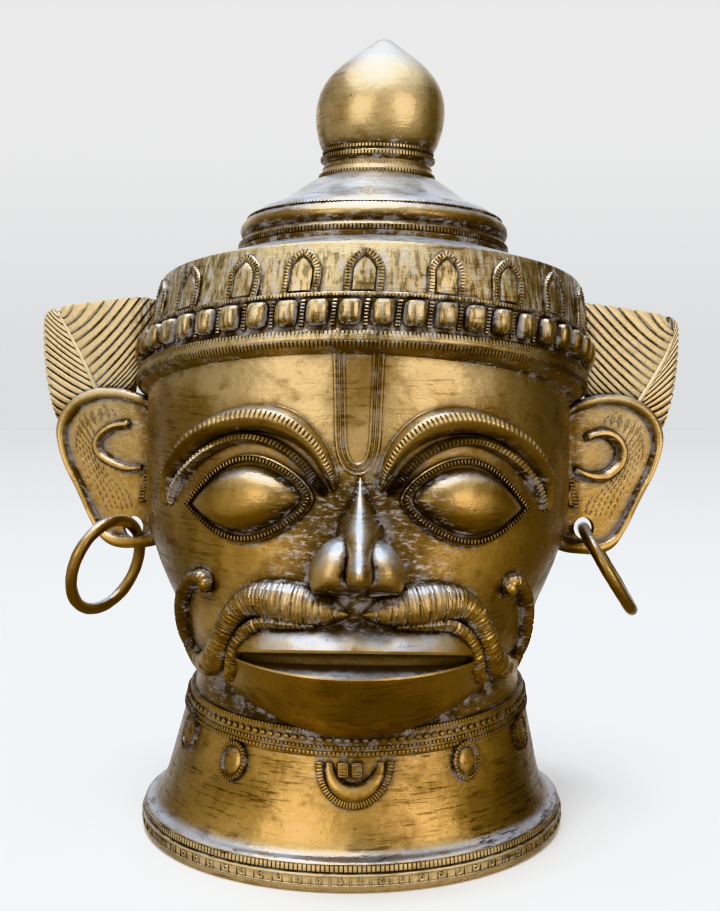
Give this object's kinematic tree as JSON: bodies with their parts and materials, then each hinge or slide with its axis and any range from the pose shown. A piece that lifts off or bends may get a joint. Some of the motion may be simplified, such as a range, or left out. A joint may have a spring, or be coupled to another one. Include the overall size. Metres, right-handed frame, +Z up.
{
  "type": "mask",
  "caption": "Hollow cast brass head mask with a moustached face, domed crown and bud finial, feathered ears and hanging ear hoops, open behind and below.",
  "frame": {"origin": "on the ground, under the middle of the mask's outline seen from above", "axes": "+Z up through the crown, -Y out of the face, +X towards the mask's own left ear"},
  "size_m": [0.2961, 0.2264, 0.3434],
  "materials": {
    "cast_brass": "old cast brass, polished on the high forms, with dark brown and grey patina in the creases",
    "hoop_brass": "drawn wire, tarnished brown, worn bright on its outer side"
  },
  "bodies": {
    "root": {"mask": "cast_brass", "ear_hoop_right": "hoop_brass", "ear_hoop_left": "hoop_brass"}
  },
  "joints": []
}
